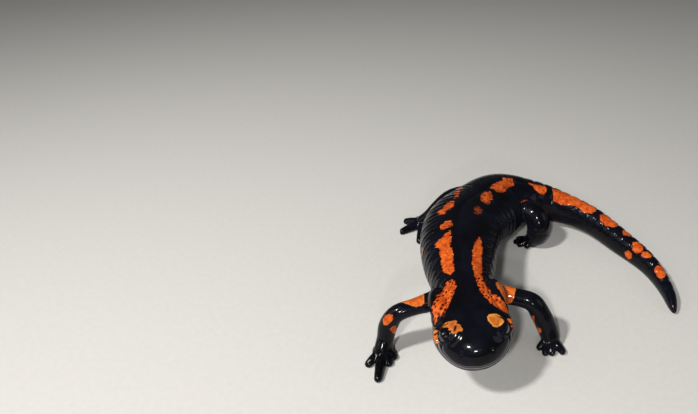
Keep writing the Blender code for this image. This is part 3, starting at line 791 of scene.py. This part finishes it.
def wetSkin(look):
    material, tree, shader = newMaterial("wetAmphibianSkin")
    place = addNode(tree, "TexCoord", "Object", {})
    spot = addNode(tree, "Attribute", "Vector", {}, attribute_name="skinPlace")
    laid = {name: addNode(tree, "Attribute", "Fac", {}, attribute_name=name) for name in layers}
    noise = {name: addNode(tree, "TexNoise", "Fac",
                           {"Vector": place, "Scale": 1 / mm / size, "Detail": detail})
             for name, (size, detail) in look["noises"].items()}
    for name, (sizeAlong, sizeRound, detail) in look["stretched"].items():
        stretch = (0.5 / sizeAlong, 0.5 / sizeRound, 1)
        drawn = addNode(tree, "Mapping", "Vector", {"Vector": spot, "Scale": stretch})
        noise[name] = addNode(tree, "TexNoise", "Fac", {"Vector": drawn, "Scale": 1.0, "Detail": detail})
    cell = {name: addNode(tree, "TexVoronoi", "Distance", {"Vector": place, "Scale": 1 / mm / size})
            for name, size in look["cells"].items()}

    # each blotch's edge is ragged, and black streaks cut across it along the rib grooves
    coarse = addNode(tree, "Math", 0, {0: noise["edge"], 1: 0.5}, operation="SUBTRACT")
    fine = addNode(tree, "Math", 0, {0: noise["fineEdge"], 1: 0.5}, operation="SUBTRACT")
    streaks = addNode(tree, "MapRange", "Result",
                      {"Value": noise["streaks"], "From Min": 0.48, "From Max": 0.62},
                      interpolation_type="SMOOTHSTEP")
    edge = laid["orange"]
    for part, weight, reach in ((coarse, laid["ragged"], look["edgeReach"]),
                                (fine, 1.0, look["fineReach"]),
                                (streaks, laid["streak"], -look["streakReach"]),
                                (laid["groove"], laid["streak"], -look["grooveReach"])):
        part = addNode(tree, "Math", 0, {0: part, 1: weight}, operation="MULTIPLY")
        edge = addNode(tree, "Math", 0, {0: part, 1: reach, 2: edge}, operation="MULTIPLY_ADD")

    # how far each pattern has come between its two limits, from 0 to 1
    share = {}
    for name, value, low, high in (
            ("noPore", laid["pore"], -0.10, 0.10), ("inside", edge, -0.05, 0.14),
            ("rim", edge, -0.16, 0.02), ("nearEdge", edge, 0.55, 0.15),
            ("orange", noise["mottle"], 0.40, 0.62), ("pale", noise["speck"], 0.52, 0.70),
            ("amberPale", noise["mottle"], 0.40, 0.65), ("sheenPatch", noise["sheenPatch"], 0.35, 0.65),
            ("granule", cell["granule"], 0.42, 0.0), ("bead", cell["bead"], 0.24, 0.0),
            ("beadPatch", noise["beadPatch"], 0.44, 0.60)):
        share[name] = addNode(tree, "MapRange", "Result", {"Value": value, "From Min": low, "From Max": high},
                              interpolation_type="SMOOTHSTEP")
    for name, first, second in (
            ("inside", share["inside"], share["noPore"]), ("pale", share["pale"], 0.75),
            ("nearEdge", share["nearEdge"], laid["amber"]), ("flank", laid["flank"], 0.6),
            ("lip", laid["lip"], 0.8), ("granule", share["granule"], laid["grain"]),
            ("bead", share["bead"], laid["grain"]), ("fold", noise["folds"], laid["flank"])):
        share[name] = addNode(tree, "Math", 0, {0: first, 1: second}, operation="MULTIPLY")
    for name, second in (("nearEdge", 0.7), ("bead", share["beadPatch"])):
        share[name] = addNode(tree, "Math", 0, {0: share[name], 1: second}, operation="MULTIPLY")

    # colours laid one over another: in a colour mix 0 is the share, 6 is under, 7 is over, 2 comes out
    amber = addNode(tree, "Mix", 2, {0: share["amberPale"], 6: look["amber"], 7: look["amberPale"]},
                    data_type="RGBA")
    orange, colour = look["orangeDeep"], look["black"]
    for much, over in ((share["orange"], look["orange"]), (share["pale"], look["orangePale"]),
                       (laid["amber"], amber), (share["nearEdge"], look["rimPale"]),
                       (laid["dull"], look["brown"])):
        orange = addNode(tree, "Mix", 2, {0: much, 6: orange, 7: over}, data_type="RGBA")
    # the first layer over the black is the bluish painted sheen in noise patches
    for much, over in ((share["sheenPatch"], look["sheenBlueBlack"]), (share["flank"], look["flank"]),
                       (share["lip"], look["lip"]), (share["rim"], look["rim"]), (share["inside"], orange)):
        colour = addNode(tree, "Mix", 2, {0: much, 6: colour, 7: over}, data_type="RGBA")
    low, high = look["blackRoughness"], look["orangeRoughness"]
    roughness = addNode(tree, "MapRange", "Result", {"Value": share["inside"], "To Min": low, "To Max": high},
                        interpolation_type="SMOOTHSTEP")

    # granules, folds that run along the flanks, beads in patches that catch the light, and a slow waviness
    normal = None
    for height, strength, tall in ((share["granule"], 1.0, look["granuleHigh"]),
                                   (share["fold"], 0.8, look["foldHigh"]),
                                   (share["bead"], 1.0, look["beadHigh"]),
                                   (noise["wave"], 0.5, look["waveHigh"])):
        takes = {"Height": height, "Strength": strength, "Distance": tall * mm}
        if normal is not None:
            takes["Normal"] = normal
        normal = addNode(tree, "Bump", "Normal", takes)
    for name, source in (("Base Color", colour), ("Roughness", roughness), ("Normal", normal)):
        tree.links.new(source, shader.inputs[name])
    for name, value in look["constants"].items():
        shader.inputs[name].default_value = value
    return material


mesh.materials.clear()
mesh.materials.append(wetSkin(skinLook))


# wet eyeball: a clear cornea over a nearly black iris, so one hard small light and no colour to speak of
eyeLook = dict(
    pupil="#020203", gold="#2e1d0e", iris="#120b07", white="#0a0809",
    pupilReach=26, irisReach=52,         # degrees from the middle of the gaze
    speckle=0.25, speckled=0.5,          # mm, share
    constants={"Roughness": 0.12, "IOR": 1.38, "Coat Weight": 1.0, "Coat Roughness": 0.02},
)


def eyeMaterial(look):
    material, tree, shader = newMaterial("wetEyeball")
    place = addNode(tree, "TexCoord", "Object", {})
    scale = 1 / mm / look["speckle"]
    speckle = addNode(tree, "TexNoise", "Fac", {"Vector": place, "Scale": scale, "Detail": 3.0})
    gaze = addNode(tree, "Attribute", "Fac", {}, attribute_name="gaze")
    rings = addNode(tree, "ValToRGB", "Color", {"Fac": gaze})
    pupil, iris = look["pupilReach"] / 90, look["irisReach"] / 90
    stops = ((0.0, "pupil"), (pupil, "pupil"), (pupil + 0.02, "gold"), (pupil + 0.06, "iris"), (iris, "iris"),
             (iris + 0.05, "white"))
    elements = rings.node.color_ramp.elements
    for i, (at, name) in enumerate(stops):
        element = elements[i] if i < 2 else elements.new(at)
        element.position = at
        element.color = linear(look[name])
    colour = addNode(tree, "Mix", 2, {0: look["speckled"], 6: rings, 7: speckle},
                     data_type="RGBA", blend_type="MULTIPLY")
    tree.links.new(colour, shader.inputs["Base Color"])
    for name, value in look["constants"].items():
        shader.inputs[name].default_value = value
    return material


wetEyeball = eyeMaterial(eyeLook)
eyes = {}
for side in ("right", "left"):
    place, gaze, _, _ = eyeFrame(side)
    bm = bmesh.new()
    bmesh.ops.create_uvsphere(bm, u_segments=64, v_segments=40, radius=head["eyeRadius"])
    turned = Vector(gaze).to_track_quat("Z", "Y").to_matrix().to_4x4()
    bmesh.ops.transform(bm, matrix=Matrix.Translation(Vector(place - shift)) @ turned, verts=bm.verts)
    bmesh.ops.scale(bm, vec=(mm, mm, mm), verts=bm.verts)
    ball = bpy.data.meshes.new(f"eye_{side}_ball")
    bm.to_mesh(ball)
    bm.free()
    eye = link(bpy.data.objects.new(f"eye_{side}_ball", ball))
    facing = (points(ball) - (place - shift)) @ gaze / head["eyeRadius"]
    keepOn(ball, "gaze", np.degrees(np.arccos(np.clip(facing, -1, 1))) / 90)
    ball.materials.append(wetEyeball)
    ball.shade_smooth()
    eyes[side] = eye
print("eyes done")

# what stands for what
fleshNodes = [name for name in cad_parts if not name.startswith("eye")]
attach(skin, "root")
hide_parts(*fleshNodes)
for side, eye in eyes.items():
    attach(eye, "root")
    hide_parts(f"eye_{side}")

# floor, light and camera
floorLook = dict(size=3.0, below=0.02, tooth=1.5,        # m across, mm under the soles, mm
                 dark="#bab7b1", pale="#c4c1bb", roughness=0.85)
bpy.ops.mesh.primitive_plane_add(size=floorLook["size"], location=(0.0, 0.0, -floorLook["below"] * mm))
floor = bpy.context.object
floor.name = "floor"
# matt painted board: rolled emulsion, so flat and pale with the faintest tooth and no shine
material, tree, shader = newMaterial("matPaleBoard")
place = addNode(tree, "TexCoord", "Object", {})
scale = 1 / mm / floorLook["tooth"]
tooth = addNode(tree, "TexNoise", "Fac", {"Vector": place, "Scale": scale, "Detail": 4.0})
tone = addNode(tree, "ValToRGB", "Color", {"Fac": tooth})
for element, name in zip(tone.node.color_ramp.elements, ("dark", "pale")):
    element.color = linear(floorLook[name])
tree.links.new(tone, shader.inputs["Base Color"])
shader.inputs["Roughness"].default_value = floorLook["roughness"]
floor.data.materials.append(material)

bpy.context.scene.view_settings.view_transform = "Standard"
lights = dict(      # the first three are small, so wet skin sparkles; the last two only fill
    top=dict(way=(-0.50, -0.25, 0.83), far=0.45, size=0.05, watts=1.7),
    front=dict(way=(-0.12, -0.75, 0.65), far=0.45, size=0.04, watts=1.1),
    low=dict(way=(0.10, -0.90, 0.42), far=0.45, size=0.03, watts=0.35),
    soft=dict(way=(-0.92, -0.20, 0.50), far=0.80, size=0.60, watts=1.1),
    fill=dict(way=(0.92, -0.10, 0.50), far=0.80, size=0.50, watts=0.7),
)
aim = Vector((0.0, -0.01, 0.008))
for name, look in lights.items():
    data = bpy.data.lights.new(name, "AREA")
    data.shape = "DISK"
    data.size = look["size"]
    data.energy = look["watts"]
    lamp = link(bpy.data.objects.new(name, data))
    way = Vector(look["way"]).normalized()
    lamp.location = aim + way * look["far"]
    lamp.rotation_euler = way.to_track_quat("Z", "Y").to_euler()
room = dict(colour="#c9cdd4", strength=0.10)
world = bpy.context.scene.world or bpy.data.worlds.new("room")
bpy.context.scene.world = world
world.use_nodes = True
background = world.node_tree.nodes["Background"]
background.inputs["Color"].default_value = linear(room["colour"])
background.inputs["Strength"].default_value = room["strength"]

view = dict(place=(10.37, -94.69, 115.13), down=34.0, lens=27.85, sensor=36.0, shift=-0.236)
cameraData = bpy.data.cameras.new("camera")
cameraData.lens = view["lens"]
cameraData.sensor_width = view["sensor"]
cameraData.shift_x = view["shift"]
cameraData.clip_start = 0.005
camera = link(bpy.data.objects.new("camera", cameraData))
camera.location = Vector(np.array(view["place"]) - shift) * mm
camera.rotation_euler = (math.radians(90 - view["down"]), 0.0, 0.0)
bpy.context.scene.camera = camera

bpy.context.view_layer.update()
print("ready")
